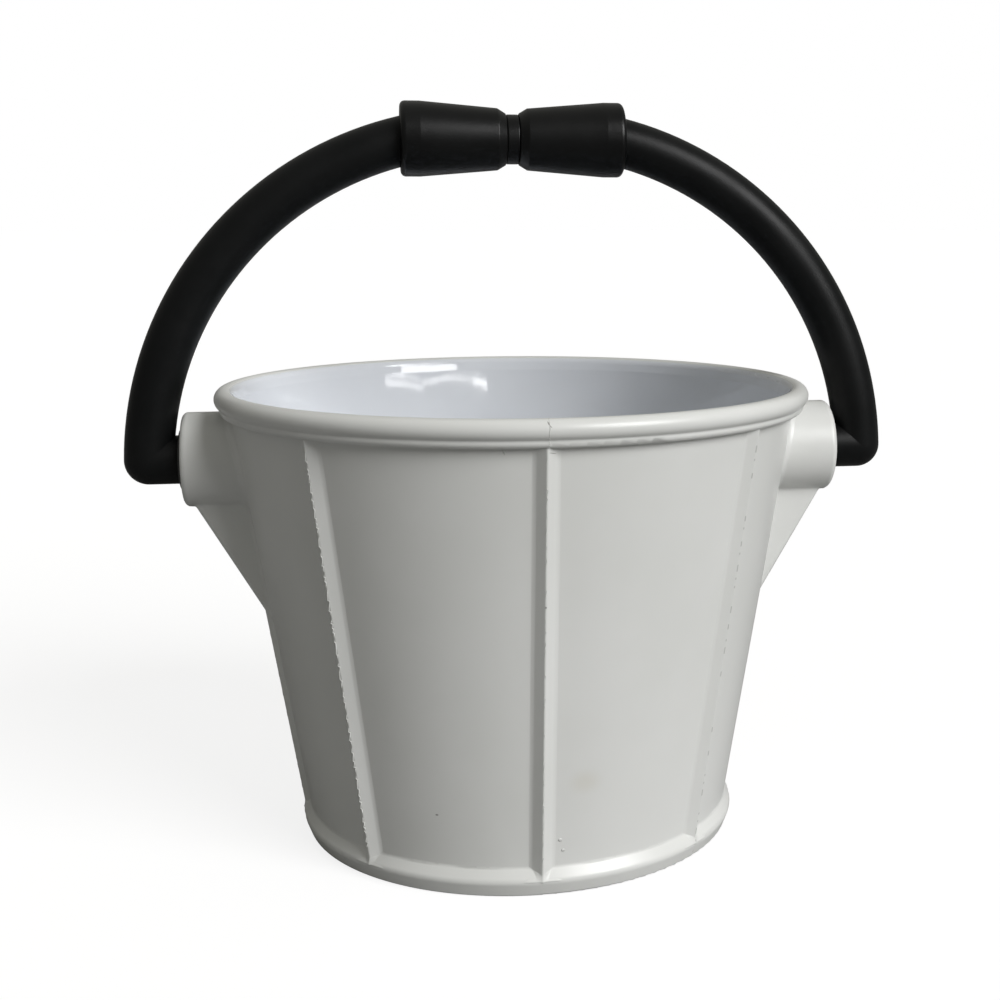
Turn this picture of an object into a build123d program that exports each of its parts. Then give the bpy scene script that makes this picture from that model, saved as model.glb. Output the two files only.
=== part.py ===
"""A round, tapered bucket with a swinging carrying handle, one STEP file for each piece.

Millimetres, +Z up. The origin is on the ground, under the middle of the bucket. The handle
turns about a line along X through the two hubs, and is modelled standing upright.
"""
import os
from math import asin, atan, atan2, cos, hypot, pi, sin, sqrt

from build123d import *

# Bucket wall: every radius of the wall grows by wall_slope for each mm of height
bucket_height = 214.8
wall_radius = 100.2
wall_slope = 0.16
wall_thickness = 3.6
floor_underside = 4.0
floor_thickness = 5.0
floor_corner_radius = 9.0

# Rim: a bead on the crest, a smaller band under it, and a short flare inside the bead.
# The reaches are counted outwards from the outer wall.
bead_radius = 4.6
bead_reach = 6.1
band_radius = 2.4
band_reach = 4.6
band_drop = 9.6
band_cove_radius = 1.6
groove_radius = 1.5
flare_height = 7.0
flare_soft_radius = 4.0

# Foot ring: flared outwards, hollow under the floor
foot_reach = 2.6
foot_belly_reach = 4.3
foot_belly_height = 7.5
foot_top_height = 13.0
foot_ring_width = 13.0
foot_edge_radius = 1.6
foot_belly_radius = 3.5
foot_cove_radius = 2.0

# Ribs down the wall
rib_count = 8
rib_height = 3.6
rib_width = 9.8
rib_crest_radius = 0.9
rib_root_radius = 4.0

# Ribs, hubs and webs start this far inside the wall's surface
root_sink = 0.02

# Hubs at both sides, each with a web under it
hub_drop = 33.8
hub_radius = 22.1
hub_reach = 25.8
hub_edge_radius = 2.8
hub_root_radius = 4.0
hub_floor = 5.0
web_width = 18.0
web_height = 80.0
web_setback = 4.5
web_foot_sink = 0.8
web_edge_radius = 2.0
web_root_radius = 2.0

# Bearing bushes, pressed into the hubs
bush_wall = 3.2
flange_width = 5.7
flange_thickness = 1.5
bush_edge = 0.5

# Handle: two bent rods in soft sleeves, joined in the middle
rod_radius = 5.0
rod_elbow_radius = 12.0
rod_end_chamfer = 0.8
rod_meeting_gap = 1.0
sleeve_wall = 6.31
leg_gap = 4.4
arch_radius = 157.4
arch_drop = 6.6
grip_drop = 3.5
grip_bend_radius = 30.0

# Coupling inside the grip, with its two cross pins
coupling_wall = 2.4
coupling_end_gap = 1.5
pin_radius = 1.5
pin_inset = 12.0
pin_recess = 0.3

# Grip: two cones with a collar between them, where a rope is tied
grip_length = 103.7
cone_large_radius = 17.2
cone_small_radius = 14.2
cone_land = 9.0
cone_large_edge = 2.4
cone_neck_length = 4.0
cone_neck_drop = 2.4
cone_neck_edge = 0.8
collar_width = 6.0
collar_radius = 11.4
collar_edge = 0.8

# Clearances
running_gap = 0.05
fixed_gap = 0.03
end_play = 0.5
bore_end_gap = 0.5
rod_end_gap = 2.0
socket_gap = 0.8

# Heights that follow from the sizes above
bead_z = bucket_height - bead_radius
band_z = bucket_height - band_drop
flare_z = bucket_height - flare_height
hub_z = bucket_height - hub_drop
floor_top = floor_underside + floor_thickness


def outer_wall(z):
    return wall_radius + wall_slope * z


def inner_wall(z):
    return outer_wall(z) - wall_thickness


# Points of the rim's section, as radius and height
bead_centre = (outer_wall(bead_z) + bead_reach - bead_radius, bead_z)
band_centre = (outer_wall(band_z) + band_reach - band_radius, band_z)
band_foot = (band_centre[0], band_z - band_radius)
band_root = (outer_wall(band_foot[1]), band_foot[1])
flare_foot = (inner_wall(flare_z), flare_z)

# Points of the foot ring's and the floor's section
foot_edge = (outer_wall(0) + foot_reach, 0)
foot_belly = (outer_wall(foot_belly_height) + foot_belly_reach, foot_belly_height)
foot_cove = (outer_wall(foot_top_height), foot_top_height)
floor_corner = (inner_wall(floor_top), floor_top)

# Bearings and coupling, from the rod outwards
sleeve_radius = rod_radius + fixed_gap + sleeve_wall
bush_bore_radius = rod_radius + running_gap
bush_radius = bush_bore_radius + bush_wall
flange_radius = bush_radius + flange_width
hub_bore_radius = bush_radius + fixed_gap
coupling_bore_radius = rod_radius + fixed_gap
coupling_radius = coupling_bore_radius + coupling_wall
cone_bore_radius = coupling_radius + fixed_gap

# Places along the hubs' line
hub_end = outer_wall(hub_z) + hub_reach
hub_bore_end = inner_wall(hub_z + hub_bore_radius) + hub_floor
flange_face = hub_end + fixed_gap + flange_thickness
leg_x = hub_end + leg_gap + sleeve_radius

# The arch is one large arc on each side, with its centre a little below the hubs
arch_centre = (leg_x - sqrt(arch_radius**2 - arch_drop**2), hub_z - arch_drop)
grip_z = arch_centre[1] + arch_radius - grip_drop


def blend_centre(radius, centre_z):
    """Centre of a smaller arc that lies inside the large arc and touches it."""
    reach = arch_radius - radius
    rise = centre_z - arch_centre[1]
    return (arch_centre[0] + sqrt(reach**2 - rise**2), centre_z)


elbow_centre = blend_centre(rod_elbow_radius, hub_z + rod_elbow_radius)
grip_bend_centre = blend_centre(grip_bend_radius, grip_z - grip_bend_radius)
straight_x = grip_bend_centre[0]
coupling_half = straight_x - coupling_end_gap
pin_x = coupling_half - pin_inset


def at(x, z):
    """A point in the plane of the handle."""
    return (x, 0, z)


def arch_angle(point):
    """Direction from the large arc's centre to a point, in radians above the horizontal."""
    return atan2(point[1] - arch_centre[1], point[0] - arch_centre[0])


def arc(centre, radius, start, end):
    """An arc in the plane of the handle, between two angles in radians."""
    angles = (start, (start + end) / 2, end)
    return ThreePointArc(*[at(centre[0] + radius * cos(a), centre[1] + radius * sin(a)) for a in angles])


def grip_bend():
    """The short arc that levels the arch out where it enters the grip."""
    return arc(grip_bend_centre, grip_bend_radius, arch_angle(grip_bend_centre), pi / 2)


def tube(path, radius):
    """A round bar of one radius along a path."""
    return sweep(Plane(origin=path @ 0, z_dir=path % 0) * Circle(radius), path=path)


def turned(section):
    """A solid turned about the bucket's middle line, from a section of radii and heights."""
    return revolve(Plane.XZ * section, Axis.Z)


def turned_along_x(outline, z):
    """A ring about a line along X at a height, from distances along the line and radii."""
    points = [at(x, z + radius) for x, radius in outline]
    return revolve(make_face(Polyline(*points, close=True)), Axis(at(0, z), (1, 0, 0)))


def bar_along_x(radius, start, end, z):
    length = end - start
    return Pos(start + length / 2, 0, z) * Rot(0, 90, 0) * Cylinder(radius, length)


def outline_face(points):
    return make_face(Polyline(*points, close=True))


def round_corner(section, point, radius):
    """Round the section's corner nearest to a point."""
    corner = section.vertices().sort_by_distance((*point, 0))[0]
    return fillet(corner, radius)


def outer_rings(solid, radius):
    """The round edges that are larger than a radius, from the lowest X to the highest."""
    rings = solid.edges().filter_by(GeomType.CIRCLE)
    return rings.filter_by(lambda edge: edge.radius > radius).sort_by(Axis.X)


def mirrored(solid):
    return mirror(solid, about=Plane.YZ)


# Bucket body

def filled_cone(inset, overrun=0):
    """The space inside the wall's surface by an inset, from the foot ring up to the band."""
    low = foot_belly_height - overrun
    high = band_z + overrun
    points = [(0, low), (outer_wall(low) - inset, low), (outer_wall(high) - inset, high), (0, high)]
    return turned(outline_face(points))


def outer_skin(solid):
    """What a filled solid adds outside the middle of the wall."""
    return solid - filled_cone(wall_thickness / 2, overrun=wall_thickness)


def rib():
    """One rib on the +X side, a ridge of triangular section that follows the wall's slope."""
    lean = atan(wall_slope)
    start = Vector(outer_wall(0), 0, 0)
    plane = Plane(origin=start, x_dir=(cos(lean), 0, -sin(lean)), z_dir=(sin(lean), 0, cos(lean)))
    crest = (rib_height * cos(lean), 0)
    root = wall_thickness / 2
    flank = rib_width / 2 * (rib_height + root) / rib_height
    section = outline_face([(-root, -flank), crest, (-root, flank)])
    section = round_corner(section, crest, rib_crest_radius)
    return extrude(plane * section, bucket_height / cos(lean))


def ribbed_cone():
    """The filled cone with all its ribs, and a soft root beside each rib."""
    cone = filled_cone(root_sink)
    span = band_z - foot_belly_height
    keep = Pos(0, 0, foot_belly_height + span / 2) * Cylinder(2 * outer_wall(bucket_height), span)
    ribs = [Rot(0, 0, 360 / rib_count * i) * rib() & keep for i in range(rib_count)]
    body = cone + ribs
    roots = new_edges(cone, *ribs, combined=body)
    roots = roots.filter_by(lambda edge: edge.bounding_box().size.Z > span / 2)
    return fillet(roots, rib_root_radius)


def web():
    """The plate under the +X hub, which runs down into the crest of the rib there."""
    foot_z = hub_z - web_height
    outer_x = hub_end - web_setback
    top = (outer_x, hub_z - sqrt(hub_radius**2 - web_width**2 / 4))
    foot = (outer_wall(foot_z) - web_foot_sink, foot_z)
    outline = [(wall_radius, hub_z), (outer_x, hub_z), top, foot, (wall_radius, foot_z)]
    plate = extrude(Plane.XZ * outline_face(outline), web_width / 2, both=True)
    outer_face = plate.faces().sort_by(Axis.Z)[1]
    long_edges = outer_face.edges().filter_by(lambda edge: edge.bounding_box().size.Z > web_height / 3)
    return fillet(long_edges, web_edge_radius)


def hub():
    """The +X hub and its web on the filled cone, with soft roots."""
    cone = filled_cone(root_sink)
    barrel = bar_along_x(hub_radius, 0, hub_end, hub_z)
    body = cone + barrel
    body = fillet(new_edges(cone, barrel, combined=body), hub_root_radius)
    body = fillet(outer_rings(body, 0)[-1], hub_edge_radius)
    plate = web()
    joined = body + plate
    return fillet(new_edges(body, plate, combined=joined), web_root_radius)


def flare_touch():
    """The point where the flare's straight line touches the inside of the bead."""
    dx = bead_centre[0] - flare_foot[0]
    dz = bead_centre[1] - flare_foot[1]
    reach = hypot(dx, dz)
    length = sqrt(reach**2 - bead_radius**2)
    angle = atan2(dz, dx) + asin(bead_radius / reach)
    return (flare_foot[0] + length * cos(angle), flare_foot[1] + length * sin(angle))


def groove_point():
    """The outer point where the circles of the bead and of the band cross."""
    dx = band_centre[0] - bead_centre[0]
    dz = band_centre[1] - bead_centre[1]
    reach = hypot(dx, dz)
    along = (reach**2 + bead_radius**2 - band_radius**2) / (2 * reach)
    across = sqrt(bead_radius**2 - along**2)
    x = bead_centre[0] + (along * dx - across * dz) / reach
    z = bead_centre[1] + (along * dz + across * dx) / reach
    return (x, z)


def rim_section():
    """The bead, the band under it and the flare inside them."""
    wall_point = (outer_wall(flare_z), flare_z)
    points = [flare_foot, flare_touch(), bead_centre, band_centre, band_foot, band_root, wall_point]
    section = outline_face(points) + Pos(*bead_centre) * Circle(bead_radius)
    return section + Pos(*band_centre) * Circle(band_radius)


def wall_section():
    """The wall, filled inwards, with the floor and the flared foot ring that is hollow under it."""
    ring_inner = foot_edge[0] - foot_ring_width
    foot = [(ring_inner, 0), foot_edge, foot_belly, foot_cove]
    return outline_face(foot + [
        (outer_wall(flare_z), flare_z),
        (0, flare_z),
        (0, floor_underside),
        (ring_inner, floor_underside),
    ])


def hollow_section():
    """The space inside the bucket, up to where the flare touches the bead."""
    touch = flare_touch()
    return outline_face([(0, floor_top), floor_corner, flare_foot, touch, (0, touch[1])])


def shell():
    """Wall, floor, rim and foot ring, turned from one section."""
    section = wall_section() + rim_section() - hollow_section()
    for point, radius in (
        (foot_edge, foot_edge_radius),
        (foot_belly, foot_belly_radius),
        (foot_cove, foot_cove_radius),
        (floor_corner, floor_corner_radius),
        (flare_foot, flare_soft_radius),
        (band_root, band_cove_radius),
        (groove_point(), groove_radius),
    ):
        section = round_corner(section, point, radius)
    return turned(section)


def bucket_body():
    """The bucket as one moulding, with a blind bore in each hub."""
    hub_skin = outer_skin(hub())
    bore = bar_along_x(hub_bore_radius, hub_bore_end, hub_end + hub_reach, hub_z)
    body = shell()
    for piece in (outer_skin(ribbed_cone()), hub_skin, mirrored(hub_skin)):
        body = body + piece
    for hole in (bore, mirrored(bore)):
        body = body - hole
    return body


# Bearings

def hub_bush():
    """The flanged bush in the +X hub: the rod turns in it, and the flange faces the sleeve."""
    inner_end = hub_bore_end + bore_end_gap
    flange_back = hub_end + fixed_gap
    outline = [
        (inner_end, bush_bore_radius),
        (inner_end, bush_radius),
        (flange_back, bush_radius),
        (flange_back, flange_radius),
        (flange_face, flange_radius),
        (flange_face, bush_bore_radius),
    ]
    bush = turned_along_x(outline, hub_z)
    bush = chamfer(outer_rings(bush, bush_bore_radius + bush_wall / 2)[0], bush_edge)
    return fillet(outer_rings(bush, bush_radius + flange_width / 2)[-1], bush_edge)


# Handle arms

def rod_path():
    """Middle line of the +X rod: out of the hub, up the arch and along the grip."""
    start = at(hub_bore_end + rod_end_gap, hub_z)
    end = at(rod_meeting_gap / 2, grip_z)
    elbow_turn = arch_angle(elbow_centre)
    return Wire([
        Line(start, at(elbow_centre[0], hub_z)),
        arc(elbow_centre, rod_elbow_radius, -pi / 2, elbow_turn),
        arc(arch_centre, arch_radius, elbow_turn, arch_angle(grip_bend_centre)),
        grip_bend(),
        Line(at(straight_x, grip_z), end),
    ])


def handle_rod():
    bar = tube(rod_path(), rod_radius)
    end_edges = [face.edges() for face in bar.faces().filter_by(GeomType.PLANE)]
    bar = chamfer([edge for edges in end_edges for edge in edges], rod_end_chamfer)
    return bar - pin_hole()


def arm_sleeve():
    """The soft sleeve on the +X rod, with a sharp inner elbow and a round outer one."""
    corner_turn = arch_angle((leg_x, hub_z))
    arch = arc(arch_centre, arch_radius, corner_turn, arch_angle(grip_bend_centre))
    leg = tube(Wire([arch, grip_bend()]), sleeve_radius)
    stub = bar_along_x(sleeve_radius, flange_face + end_play, leg_x, hub_z)
    knuckle = Pos(leg_x, 0, hub_z) * Sphere(sleeve_radius)
    return leg + [stub, knuckle] - tube(rod_path(), rod_radius + fixed_gap)


# Grip

def cross_bar(radius, half_length):
    """A bar across the coupling and the +X rod, along Y."""
    return Pos(pin_x, 0, grip_z) * Rot(90, 0, 0) * Cylinder(radius, 2 * half_length)


def coupling_pin():
    return cross_bar(pin_radius, coupling_radius - pin_recess)


def pin_hole():
    return cross_bar(pin_radius + fixed_gap, 2 * coupling_radius)


def rod_coupling():
    """The tube over the meeting ends of both rods."""
    outline = [
        (-coupling_half, coupling_bore_radius),
        (-coupling_half, coupling_radius),
        (coupling_half, coupling_radius),
        (coupling_half, coupling_bore_radius),
    ]
    return turned_along_x(outline, grip_z) - [pin_hole(), mirrored(pin_hole())]


def sleeve_socket():
    """Room for the sleeve's end, along the part of it that the cone covers."""
    start_turn = arch_angle(grip_bend_centre)
    far_turn = (start_turn + arch_angle(elbow_centre)) / 2
    arch = arc(arch_centre, arch_radius, far_turn, start_turn)
    run_in = Line(at(straight_x, grip_z), at(straight_x - end_play, grip_z))
    return tube(Wire([arch, grip_bend(), run_in]), sleeve_radius + socket_gap)


def grip_cone():
    """The +X half of the grip, with a socket that takes the end of the sleeve."""
    small_end = collar_width / 2
    large_end = grip_length / 2
    outline = [
        (small_end, cone_bore_radius),
        (small_end, cone_small_radius - cone_neck_drop),
        (small_end + cone_neck_length, cone_small_radius),
        (large_end - cone_land, cone_large_radius),
        (large_end, cone_large_radius),
        (large_end, cone_bore_radius),
    ]
    cone = turned_along_x(outline, grip_z)
    inside = (cone_bore_radius + cone_small_radius) / 2
    cone = fillet(outer_rings(cone, inside)[:2], cone_neck_edge)
    cone = fillet(outer_rings(cone, inside)[-1], cone_large_edge)
    return cone - sleeve_socket()


def rope_collar():
    """The ring between the two cones, the bottom of the groove for a rope."""
    half = collar_width / 2
    bore = cone_bore_radius
    outline = [(-half, bore), (-half, collar_radius), (half, collar_radius), (half, bore)]
    collar = turned_along_x(outline, grip_z)
    return fillet(outer_rings(collar, (bore + collar_radius) / 2), collar_edge)


def main():
    os.makedirs("parts", exist_ok=True)
    pieces = {"bucket_body": bucket_body(), "rod_coupling": rod_coupling(), "rope_collar": rope_collar()}
    for make in (hub_bush, handle_rod, arm_sleeve, coupling_pin, grip_cone):
        solid = make()
        pieces[make.__name__ + "_right"] = solid
        pieces[make.__name__ + "_left"] = mirrored(solid)
    for name, solid in pieces.items():
        export_step(solid, f"parts/{name}.step")


main()
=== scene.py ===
"""A pale plastic bucket with a black soft handle: its finish, its fine detail, a plain studio and the camera.

Metres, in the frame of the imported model: +Z up, the bucket stands on Z = 0, and the handle turns about a
line along X through the hubs.
"""
from math import cos, pi, radians, sin

import bpy
from mathutils import Matrix, Vector, noise


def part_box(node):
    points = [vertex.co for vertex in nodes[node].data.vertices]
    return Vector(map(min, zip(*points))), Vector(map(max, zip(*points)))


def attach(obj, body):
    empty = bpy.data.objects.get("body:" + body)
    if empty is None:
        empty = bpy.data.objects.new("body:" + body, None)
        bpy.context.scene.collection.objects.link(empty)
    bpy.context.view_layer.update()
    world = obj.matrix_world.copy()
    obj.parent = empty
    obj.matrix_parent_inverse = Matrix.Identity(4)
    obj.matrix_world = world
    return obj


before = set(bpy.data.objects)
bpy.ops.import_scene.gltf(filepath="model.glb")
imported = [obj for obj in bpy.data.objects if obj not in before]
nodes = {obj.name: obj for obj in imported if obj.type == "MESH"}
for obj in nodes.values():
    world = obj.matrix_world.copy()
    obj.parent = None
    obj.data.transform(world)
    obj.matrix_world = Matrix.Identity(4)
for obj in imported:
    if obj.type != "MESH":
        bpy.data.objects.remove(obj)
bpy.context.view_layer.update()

# Wall of the bucket: its outer radius grows with the height
wall_radius = 0.1002
wall_slope = 0.16
wall_thickness = 0.0036
rim_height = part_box("bucket_body")[1].z
# Inside, the wall flares out to the rim between these heights
flare_low = 0.2060
flare_high = 0.2085

# Rim: the bead and the band under it, whose reaches are counted from the wall
bead_radius = 0.0046
bead_reach = 0.0061
band_radius = 0.0024
band_reach = 0.0046
band_drop = 0.0096

# Ribs, by their angle in degrees round the bucket, to the right from the front one
rib_angles = {
    "front": 0,
    "front_right": 45,
    "right": 90,
    "back_right": 135,
    "back": 180,
    "back_left": -135,
    "left": -90,
    "front_left": -45,
}
rib_height = 0.0036
rib_width = 0.0098

# The foot ring's widest place and the top of its slope
belly_height = 0.0075
belly_reach = 0.0043
slope_top = 0.013
belly_fall = 0.35

# The soft fillet where a rib runs down into the foot ring's slope: a patch of small faces that follows
# the wall, the ring and the rib, rounds what lies between them, and sinks into the solid at its border
fillet_size = 0.0026
fillet_share = 1.6
fillet_least = 0.0001
fillet_low = 0.0055
fillet_high = 0.0190
fillet_half_width = 0.0095
fillet_sink = 0.00006
fillet_steps = 44
slope_rounding = 0.0008
flank_rounding = 0.0012
flank_drop = 0.0002
border_start = 0.6
border_sink = 0.0005

# Moulding flash: thin raised lines on the crests of the ribs. It starts under the crest's surface.
crest_height = 0.0034
flash_low = 0.016
flash_high = 0.200
flash_under_web = 0.098
flash_step = 0.0007
flash_half_width = 0.00045
flash_sink = 0.0003
flash_tooth = 0.0034
flash_noise = 300.0
tooth_noise = 90.0
tooth_drift = 1.3
rise_rate = 4.0
tip_start = 0.6
# The flash of each rib: its top, its sway sideways, its lift outwards and the noise that it needs to rise
crest_flashes = {
    "front": (flash_high, 0.00055, 0.00030, -0.1),
    "front_left": (flash_high, 0.00090, 0.00040, -0.3),
    "front_right": (flash_high, 0.00015, 0.00020, 0.12),
    "left": (flash_under_web, 0.00030, 0.00020, -0.1),
    "right": (flash_under_web, 0.00030, 0.00020, -0.1),
    "back_left": (flash_high, 0.00030, 0.00025, 0.0),
    "back_right": (flash_high, 0.00030, 0.00025, 0.0),
    "back": (flash_high, 0.00030, 0.00020, -0.1),
}

# The seam over the rim above the front rib: its angle round the bucket, the turns in degrees that it
# takes over the band and over the bead, its lift, and how far it strays sideways, in lift and in width
seam_angle = 0.2
seam_over_band = range(-70, 40, 6)
seam_over_bead = range(-48, 130, 4)
seam_lift = 0.00016
seam_stray = 0.0004
seam_lift_stray = 0.00012
seam_width_stray = 0.0002
seam_noise = 0.09

# Small marks on the outside: angle, height, length, width and slope in degrees
rim_cracks = [(0.0, 0.2132, 0.0014, 0.0005, -66), (0.35, 0.2120, 0.0012, 0.0003, -50)]
wall_nicks = [
    (0.95, 0.2006, 0.0030, 0.0003, -14),
    (0.0, 0.1354, 0.0008, 0.0008),
    (-25.0, 0.0375, 0.0013, 0.0008),
]
wall_pimples = [
    (4.3, 0.0257, 0.0016, 0.0013),
    (5.1, 0.0206, 0.0013, 0.0012),
    (-7.4, 0.2012, 0.0022, 0.0005, -62),
]
wall_stain = (9.75, 0.0527, 0.0110, 0.0085)

# Camera, in the object's frame. The photograph is a crop: the lens points at a place right of its middle.
camera_distance = 0.73403
camera_azimuth = 5.385
camera_height = 0.29371
camera_heading = 9.307
camera_pitch = 9.679
camera_roll = 0.037
camera_focal_px = 1533.9
photo_width_px = 1000
lens_axis_px = (619.4, 476.4)
sensor_width_mm = 36.0

# Light: one soft key from the right, wide fills from the front left and from behind, and a dim sky.
# Azimuths are in degrees to the right of the camera.
key_azimuth = 46.5
key_elevation = 30.0
key_strength = 2.85
key_angle = 34.0
sky_strength = 0.11
ambient_strength = 0.03
# Wide fills: azimuth, elevation and strength of each
fills = [(-30.0, 25.0, 0.165), (185.0, 35.0, 0.26)]
shade_tint = (1.0, 0.99, 0.92)
background_white = 1.0
floor_colour = 0.25
floor_half = 30.0
# Share of a fill's and of the sky's strength that lights level ground
fill_on_ground = 0.36
sky_on_ground = 0.67

# Bars of a bright window, as the glossy inside mirrors them: the angle round the bucket and the height of
# both ends, and the bar's thickness
window_distance = 1.345
bar_glow = 8.0
window_bars = [
    (47, 0.500, 8, 0.535, 0.002),
    (59, 0.480, 49, 0.487, 0.010),
    (39, 0.505, 11, 0.523, 0.002),
    (59, 0.466, 41, 0.490, 0.004),
    (59, 0.457, 40, 0.478, 0.009),
    (40, 0.486, 8, 0.510, 0.008),
    (15, 0.511, 8, 0.506, 0.014),
]


def scene_tree(owner):
    owner.use_nodes = True
    return owner.node_tree


class Graph:
    """The shader nodes of one material or world, each added and joined in one call."""

    def __init__(self, tree):
        self.tree = tree

    def put(self, socket, value):
        if isinstance(value, bpy.types.NodeSocket):
            self.tree.links.new(value, socket)
        else:
            socket.default_value = value

    def add(self, kind, inputs, **settings):
        """A node of a kind, with its settings and its inputs by name or number."""
        node = self.tree.nodes.new("ShaderNode" + kind)
        for name, value in settings.items():
            setattr(node, name, value)
        for key, value in inputs.items():
            self.put(node.inputs[key], value)
        return node

    def math(self, operation, a, b=0.0):
        return self.add("Math", {0: a, 1: b}, operation=operation).outputs[0]

    def vector(self, operation, a, b=(0.0, 0.0, 0.0), output="Vector"):
        return self.add("VectorMath", {0: a, 1: b}, operation=operation).outputs[output]

    def ramp(self, value, low, high, out_low=0.0, out_high=1.0):
        """A smooth step of a value, from out_low at low to out_high at high."""
        inputs = {0: value, 1: low, 2: high, 3: out_low, 4: out_high}
        return self.add("MapRange", inputs, interpolation_type="SMOOTHSTEP").outputs[0]

    def noise(self, place, scale, detail=2.0, roughness=0.5):
        inputs = {"Vector": place, "Scale": scale, "Detail": detail, "Roughness": roughness}
        return self.add("TexNoise", inputs).outputs["Fac"]

    def mix(self, factor, a, b):
        """One colour over another."""
        return self.add("Mix", {0: factor, 6: a, 7: b}, data_type="RGBA").outputs[2]

    def blend(self, factor, a, b):
        """One number over another."""
        return self.add("Mix", {0: factor, 2: a, 3: b}, data_type="FLOAT").outputs[0]

    def bump(self, height, distance, strength=1.0, normal=None):
        inputs = {"Height": height, "Distance": distance, "Strength": strength}
        if normal is not None:
            inputs["Normal"] = normal
        return self.add("Bump", inputs).outputs[0]

    def spot(self, flat, angle, height, length, width, turn=0.0, soft=0.4, reach=0.0):
        """1 in an oval spot of the unrolled wall, 0 outside it."""
        arc = radians(angle) * (wall_radius + wall_slope * height + reach)
        inputs = {"Vector": flat, "Location": (arc, height, 0.0), "Rotation": (0.0, 0.0, radians(turn))}
        inputs["Scale"] = (length / 2, width / 2, 1.0)
        local = self.add("Mapping", inputs, vector_type="TEXTURE").outputs[0]
        return self.ramp(self.vector("LENGTH", local, output="Value"), 1 - soft, 1 + soft, 1.0, 0.0)

    def most(self, values):
        """The largest of several numbers."""
        most = values[0]
        for value in values[1:]:
            most = self.math("MAXIMUM", most, value)
        return most

    def place(self):
        """The place on the object, in metres."""
        return self.add("TexCoord", {}).outputs["Object"]


def new_material(name):
    material = bpy.data.materials.new(name)
    tree = scene_tree(material)
    return material, Graph(tree), tree.nodes["Principled BSDF"]


def grey(value):
    return (value, value, value, 1.0)


def bucket_plastic():
    """Off-white moulded plastic: satin outside, and glossy and cooler inside."""
    material, g, shader = new_material("bucket_plastic")
    place = g.place()
    split = g.add("SeparateXYZ", {0: place}).outputs
    radius = g.vector("LENGTH", g.vector("MULTIPLY", place, (1.0, 1.0, 0.0)), output="Value")
    wall = g.math("ADD", g.math("MULTIPLY", split["Z"], wall_slope), wall_radius - wall_thickness / 2)
    inside = g.ramp(g.math("SUBTRACT", wall, radius), -0.0005, 0.0005)
    outside = g.math("SUBTRACT", 1.0, inside)
    mottle = g.noise(place, 14.0, 3.0, 0.55)
    speck = g.noise(place, 900.0, 2.0, 0.6)
    outer = g.mix(g.ramp(mottle, 0.3, 0.7), (0.715, 0.722, 0.700, 1.0), (0.745, 0.750, 0.732, 1.0))
    inner = g.mix(g.ramp(mottle, 0.3, 0.7), (0.710, 0.735, 0.780, 1.0), (0.735, 0.760, 0.800, 1.0))
    colour = g.mix(inside, outer, inner)
    colour = g.mix(g.ramp(speck, 0.68, 0.80, 0.0, 0.10), colour, (0.45, 0.44, 0.40, 1.0))

    # Marks, on the wall unrolled to arc and height: cracks and nicks, and the painted shade of the crest
    # ticks
    turn = g.math("ARCTAN2", split["X"], g.math("MULTIPLY", split["Y"], -1.0))
    arc = g.math("MULTIPLY", turn, radius)
    flat = g.add("CombineXYZ", {0: arc, 1: split["Z"]}).outputs[0]
    cracks = [g.spot(flat, *crack, reach=bead_reach) for crack in rim_cracks]
    nicks = [g.spot(flat, *nick) for nick in wall_nicks]
    marks_and_painted_shade = g.math("MULTIPLY", g.most(cracks + nicks + [crest_tick_painted_shade(g, turn, split["Z"])]), outside)
    stain = g.math("MULTIPLY", g.spot(flat, *wall_stain, soft=0.8), outside)
    colour = g.mix(g.math("MULTIPLY", stain, 0.18), colour, (0.55, 0.50, 0.36, 1.0))
    # Cracks and nicks take their own dark colour; the crest ticks here are painted shade
    colour = g.mix(g.math("MULTIPLY", marks_and_painted_shade, 0.75), colour, (0.16, 0.15, 0.14, 1.0))
    g.put(shader.inputs["Base Color"], colour)

    smudge = g.ramp(g.noise(place, 40.0, 4.0, 0.6), 0.35, 0.75)
    satin = g.blend(smudge, 0.30, 0.34)
    flare = g.ramp(split["Z"], flare_low, flare_high)
    g.put(shader.inputs["Roughness"], g.blend(inside, satin, g.blend(smudge, 0.03, 0.05)))
    pimples = g.most([g.spot(flat, *pimple) for pimple in wall_pimples])
    wave = g.blend(inside, 0.03, g.blend(flare, 0.012, 0.06))
    normal = g.bump(g.noise(place, 38.0, 1.0, 0.4), 0.0012, wave)
    normal = g.bump(g.noise(place, 1400.0, 2.0, 0.5), 0.00004, g.blend(inside, 0.12, 0.02), normal)
    normal = g.bump(g.math("MULTIPLY", pimples, outside), 0.0004, 1.0, normal)
    g.put(shader.inputs["Normal"], normal)
    return material


def crest_tick_painted_shade(g, turn, height):
    """Painted shade: short dark ticks down the crest of the rib at the front right, for the shaded sides of
    small flash teeth.
    """
    aside = g.math("ABSOLUTE", g.math("SUBTRACT", turn, radians(rib_angles["front_right"])))
    on_crest = g.ramp(aside, 0.0025, 0.0050, 1.0, 0.0)
    under_rim = g.ramp(height, flash_high - 0.001, flash_high + 0.001, 1.0, 0.0)
    dash = g.noise(g.add("CombineXYZ", {2: height}).outputs[0], 260.0, 0.0, 0.0)
    return g.math("MULTIPLY", g.math("MULTIPLY", on_crest, under_rim), g.ramp(dash, 0.52, 0.58, 0.0, 0.55))


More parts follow.
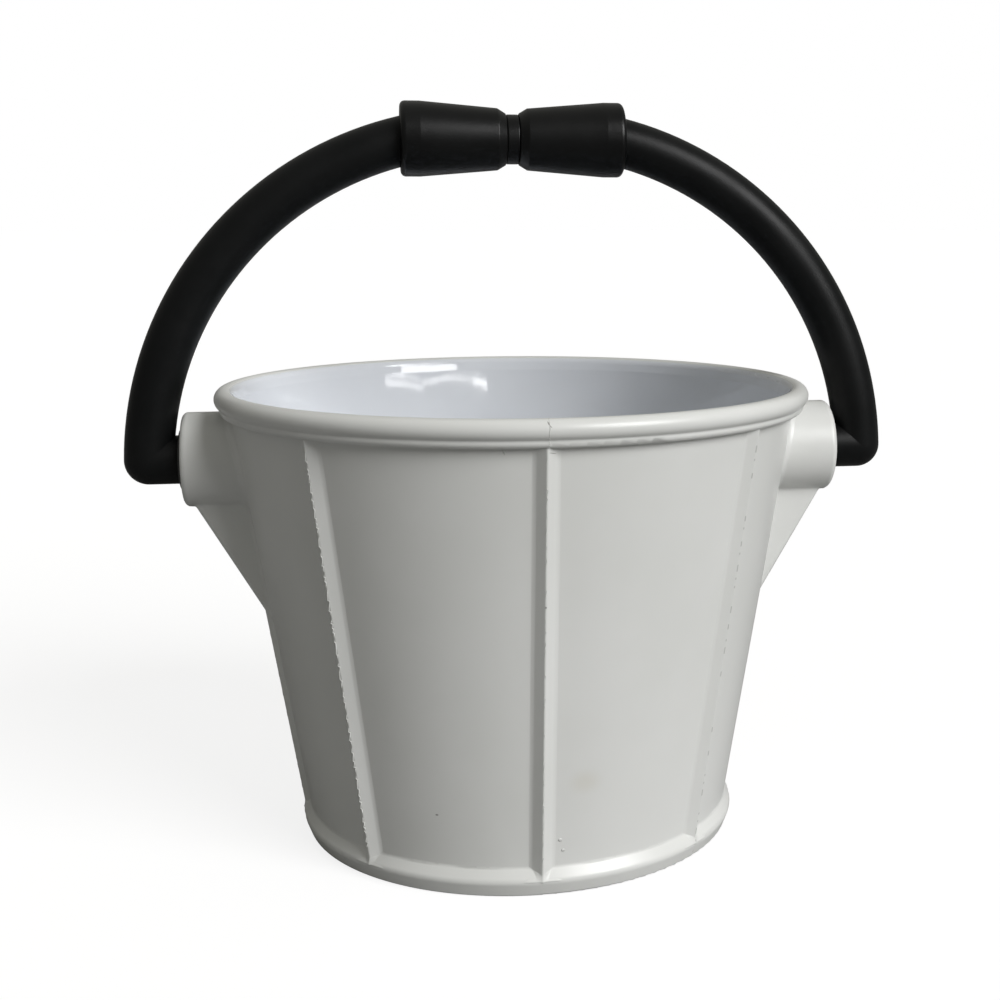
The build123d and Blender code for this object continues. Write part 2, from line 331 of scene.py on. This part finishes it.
def black_rubber(name, grain_scale, roughness, gloss, tone):
    """Satin black rubber with a fine skin, faint dust and duller patches."""
    material, g, shader = new_material(name)
    place = g.place()
    cloud = g.noise(place, 26.0, 4.0, 0.6)
    dust = g.ramp(g.noise(place, 520.0, 3.0, 0.7), 0.62, 0.80, 0.0, 0.05)
    darker = (0.92 * tone, tone, 1.04 * tone, 1.0)
    lighter = (1.32 * tone, 1.4 * tone, 1.44 * tone, 1.0)
    colour = g.mix(g.ramp(cloud, 0.3, 0.7), darker, lighter)
    colour = g.mix(dust, colour, grey(0.05))
    g.put(shader.inputs["Base Color"], colour)
    g.put(shader.inputs["Roughness"], g.ramp(cloud, 0.3, 0.7, roughness - 0.04, roughness + 0.05))
    skin = g.noise(place, grain_scale, 3.0, 0.6)
    g.put(shader.inputs["Normal"], g.bump(skin, 0.00008, 0.6, g.bump(cloud, 0.0010, 0.3)))
    shader.inputs["Specular IOR Level"].default_value = gloss
    return material


def bush_plastic():
    """Dark acetal, turned smooth."""
    material, g, shader = new_material("bush_plastic")
    rings = g.noise(g.vector("MULTIPLY", g.place(), (1.0, 0.05, 0.05)), 3000.0, 2.0, 0.5)
    g.put(shader.inputs["Base Color"], g.mix(rings, grey(0.03), grey(0.05)))
    g.put(shader.inputs["Roughness"], g.ramp(rings, 0.2, 0.8, 0.32, 0.42))
    g.put(shader.inputs["Normal"], g.bump(rings, 0.00003, 0.5))
    return material


def drawn_steel():
    """Bright bar with fine drawing lines and a few dull spots."""
    material, g, shader = new_material("drawn_steel")
    place = g.place()
    lines = g.noise(g.vector("MULTIPLY", place, (0.1, 1.0, 1.0)), 2500.0, 2.0, 0.6)
    spots = g.noise(place, 120.0, 4.0, 0.6)
    g.put(shader.inputs["Base Color"], g.mix(g.ramp(spots, 0.55, 0.75), grey(0.60), (0.42, 0.40, 0.37, 1.0)))
    g.put(shader.inputs["Roughness"], g.ramp(lines, 0.2, 0.8, 0.24, 0.38))
    g.put(shader.inputs["Normal"], g.bump(lines, 0.00003, 0.5))
    shader.inputs["Metallic"].default_value = 1.0
    return material


def dress(names, material):
    """Give CAD nodes a finish."""
    for name in names:
        for slot in nodes[name].material_slots:
            slot.material = material


def around(angle):
    """Outward and sideways directions on the bucket at an angle."""
    turn = radians(angle)
    return Vector((sin(turn), -cos(turn), 0)), Vector((cos(turn), sin(turn), 0))


def soft_max(a, b, size):
    """The larger of two heights, rounded where they are closer than size."""
    near = max(0, size - abs(a - b)) / size
    return max(a, b) + near * near * size / 4


def add_piece(name, points, faces, material, smooth=False):
    """A piece of the bucket's moulding, as a mesh."""
    mesh = bpy.data.meshes.new(name)
    mesh.from_pydata(points, [], faces)
    mesh.materials.append(material)
    mesh.polygons.foreach_set("use_smooth", [smooth] * len(faces))
    piece = bpy.data.objects.new(name, mesh)
    bpy.context.scene.collection.objects.link(piece)
    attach(piece, "bucket")


def rib_foot(name, angle, material):
    """The soft fillet between a rib's lower end and the foot ring."""
    outward, sideways = around(angle)
    count = fillet_steps + 1
    points = []
    for row in range(count):
        z = fillet_low + (fillet_high - fillet_low) * row / fillet_steps
        wall = wall_radius + wall_slope * z
        slope = belly_reach * (slope_top - z) / (slope_top - belly_height)
        belly = belly_reach - belly_fall * abs(z - belly_height)
        ring = wall + soft_max(0, min(slope, belly), slope_rounding)
        for column in range(count):
            aside = fillet_half_width * (2 * column / fillet_steps - 1)
            flank = soft_max(0, rib_height * (1 - 2 * abs(aside) / rib_width) - flank_drop, flank_rounding)
            edge = max(abs(2 * column / fillet_steps - 1), abs(2 * row / fillet_steps - 1))
            fade = max(0, edge - border_start) / (1 - border_start)
            # The wall is round, so it falls back from the flat plane across the rib
            fall = wall - (wall * wall - aside * aside) ** 0.5
            size = min(fillet_size, fillet_share * (ring - wall), fillet_share * flank)
            radius = max(ring, wall + flank)
            if size > fillet_least:
                radius = soft_max(ring, wall + flank, size)
            radius -= fillet_sink + border_sink * fade * fade
            points.append((radius - fall) * outward + aside * sideways + Vector((0, 0, z)))
    faces = []
    for row in range(fillet_steps):
        for column in range(fillet_steps):
            k = row * count + column
            faces.append((k, k + 1, k + 1 + count, k + count))
    add_piece(name, points, faces, material, smooth=True)


def ridge(name, stations, material):
    """A thin raised line. Each station is its foot, its half width as a vector, and its tip."""
    points = []
    for foot, side, tip in stations:
        points += [foot - side, tip, foot + side]
    faces = []
    for first in range(0, 3 * len(stations) - 3, 3):
        for k in (first, first + 1):
            faces.append((k, k + 1, k + 4, k + 3))
    add_piece(name, points, faces, material)


def zigzag(z, angle):
    """A ragged saw from -1 to 1 that runs up the ribs."""
    drift = noise.noise(Vector((tooth_noise * z, angle, 0)))
    tooth = (z / flash_tooth + tooth_drift * drift) % 1
    return (2 * tooth - 1) * (0.5 + abs(noise.noise(Vector((flash_noise * z, angle, 5)))))


def crest_flash(name, angle, high, sway, lift, cut, material):
    """Flash along a rib's crest. It sways sideways, and rises to lift where its noise is over cut."""
    outward, sideways = around(angle)
    stations = []
    for step in range(int((high - flash_low) / flash_step)):
        z = flash_low + step * flash_step
        height_noise = noise.noise(Vector((flash_noise * z, angle, 9)))
        rise = min(1, max(0, rise_rate * (height_noise - cut)))
        foot = (wall_radius + wall_slope * z + crest_height - flash_sink) * outward + Vector((0, 0, z))
        tip = foot + (flash_sink * tip_start + lift * rise) * outward + sway * zigzag(z, angle) * sideways
        stations.append((foot, flash_half_width * sideways, tip))
    ridge(name, stations, material)


def rim_flash(material):
    """The seam over the bead and the band, above the front rib."""
    outward, sideways = around(seam_angle)
    stations = []
    rings = [(band_radius, band_reach, rim_height - band_drop, seam_over_band)]
    rings.append((bead_radius, bead_reach, rim_height - bead_radius, seam_over_bead))
    for ring_radius, reach, height, turns in rings:
        middle = (wall_radius + wall_slope * height + reach - ring_radius) * outward + Vector((0, 0, height))
        for turn in turns:
            out = cos(radians(turn)) * outward + sin(radians(turn)) * Vector((0, 0, 1))
            wobble = noise.noise(Vector((seam_noise * turn, 1000 * ring_radius, 3)))
            foot = middle + (ring_radius - flash_sink) * out + seam_stray * wobble * sideways
            tip = foot + (flash_sink + seam_lift + seam_lift_stray * wobble) * out
            stations.append((foot, (flash_half_width + seam_width_stray * wobble) * sideways, tip))
    ridge("rim_flash", stations, material)


def add_rib_feet(material):
    for side, angle in rib_angles.items():
        rib_foot("rib_foot_" + side, angle, material)


def add_flash(material):
    rim_flash(material)
    for side, (high, sway, lift, cut) in crest_flashes.items():
        crest_flash("flash_" + side, rib_angles[side], high, sway, lift, cut, material)


def both(name):
    return [name + "_left", name + "_right"]


def towards(azimuth, elevation):
    """Direction in the object's frame, by degrees to the right of the camera and above the ground."""
    turn = radians(azimuth - camera_azimuth)
    rise = radians(elevation)
    return Vector((sin(turn) * cos(rise), -cos(turn) * cos(rise), sin(rise)))


def add_key():
    lamp = bpy.data.lights.new("key", "SUN")
    lamp.energy = key_strength
    lamp.angle = radians(key_angle)
    holder = bpy.data.objects.new("key", lamp)
    holder.rotation_mode = "QUATERNION"
    holder.rotation_quaternion = towards(key_azimuth, key_elevation).to_track_quat("Z", "Y")
    bpy.context.scene.collection.objects.link(holder)


def add_window():
    """Thin bars of light that only show where the glossy inside of the bucket mirrors them."""
    for number, (start_angle, start_height, end_angle, end_height, thickness) in enumerate(window_bars):
        start = window_distance * around(start_angle)[0] + Vector((0, 0, start_height))
        end = window_distance * around(end_angle)[0] + Vector((0, 0, end_height))
        along = (end - start).normalized()
        middle = (start + end) / 2
        back = (middle - Vector((0, 0, rim_height))).normalized()
        lamp = bpy.data.lights.new("window_bar", "AREA")
        lamp.shape = "RECTANGLE"
        lamp.size = (end - start).length
        lamp.size_y = thickness
        lamp.energy = bar_glow * pi * lamp.size * lamp.size_y
        holder = bpy.data.objects.new("window_bar_%d" % number, lamp)
        across = back.cross(along).normalized()
        turned = Matrix((along, across, along.cross(across))).transposed().to_4x4()
        holder.matrix_world = Matrix.Translation(middle) @ turned
        holder.visible_camera = False
        holder.visible_diffuse = False
        bpy.context.scene.collection.objects.link(holder)


def seen_directly(g):
    """1 for the camera's own rays, otherwise 0."""
    return g.add("LightPath", {}).outputs["Is Camera Ray"]


def add_world():
    world = bpy.data.worlds.new("studio")
    bpy.context.scene.world = world
    tree = scene_tree(world)
    g = Graph(tree)
    direction = g.add("TexCoord", {}).outputs["Generated"]
    strength = ambient_strength
    for azimuth, elevation, fill in fills + [(0.0, 90.0, sky_strength)]:
        facing = g.vector("DOT_PRODUCT", direction, towards(azimuth, elevation), output="Value")
        lobe = g.math("MULTIPLY", g.math("MAXIMUM", facing, 0.0), fill)
        strength = g.math("ADD", lobe, strength)
    shade = g.vector("MULTIPLY", shade_tint, strength)
    colour = g.mix(seen_directly(g), shade, grey(background_white))
    g.put(tree.nodes["Background"].inputs["Color"], colour)


def add_floor():
    """A wide pale floor that runs into the white background and keeps the shadow."""
    mesh = bpy.data.meshes.new("floor")
    corners = [(floor_half * x, floor_half * y, 0) for x, y in ((-1, -1), (1, -1), (1, 1), (-1, 1))]
    mesh.from_pydata(corners, [], [(0, 1, 2, 3)])
    floor = bpy.data.objects.new("floor", mesh)
    bpy.context.scene.collection.objects.link(floor)
    material = bpy.data.materials.new("floor")
    tree = scene_tree(material)
    tree.nodes.clear()
    g = Graph(tree)
    key_light = key_strength / pi * sin(radians(key_elevation))
    fill_light = sum(fill for _, _, fill in fills) * fill_on_ground + sky_strength * sky_on_ground
    lit = floor_colour * (ambient_strength + fill_light + key_light)
    glow = g.math("MULTIPLY", seen_directly(g), background_white - lit)
    diffuse = g.add("BsdfDiffuse", {"Color": grey(floor_colour)}).outputs[0]
    glowing = g.add("Emission", {"Color": grey(1.0), "Strength": glow}).outputs[0]
    both_shaders = g.add("AddShader", {0: diffuse, 1: glowing}).outputs[0]
    g.add("OutputMaterial", {"Surface": both_shaders})
    mesh.materials.append(material)


def add_camera():
    data = bpy.data.cameras.new("camera")
    data.sensor_width = sensor_width_mm
    data.lens = sensor_width_mm * camera_focal_px / photo_width_px
    data.clip_start = 0.01
    data.shift_x = 0.5 - lens_axis_px[0] / photo_width_px
    data.shift_y = lens_axis_px[1] / photo_width_px - 0.5
    camera = bpy.data.objects.new("camera", data)
    bpy.context.scene.collection.objects.link(camera)
    turn = radians(camera_azimuth)
    away = camera_distance * Vector((-sin(turn), -cos(turn), 0))
    heading = radians(camera_heading)
    pitch = radians(camera_pitch)
    ahead = Vector((sin(heading) * cos(pitch), cos(heading) * cos(pitch), -sin(pitch)))
    right = ahead.cross(Vector((0, 0, 1))).normalized()
    up = right.cross(ahead)
    turned = Matrix((right, up, -ahead)).transposed().to_4x4()
    roll = Matrix.Rotation(radians(camera_roll), 4, "Z")
    camera.matrix_world = Matrix.Translation(away + Vector((0, 0, camera_height))) @ turned @ roll
    bpy.context.scene.camera = camera


plastic = bucket_plastic()
dress(["bucket_body"], plastic)
dress(both("hub_bush"), bush_plastic())
dress(both("handle_rod") + both("coupling_pin") + ["rod_coupling"], drawn_steel())
dress(both("arm_sleeve"), black_rubber("sleeve_rubber", 2200.0, 0.38, 0.15, 0.0050))
dress(both("grip_cone") + ["rope_collar"], black_rubber("grip_rubber", 1500.0, 0.35, 0.24, 0.0030))
add_rib_feet(plastic)
add_flash(plastic)
add_key()
add_window()
add_world()
add_floor()
add_camera()
bpy.context.scene.view_settings.view_transform = "Standard"
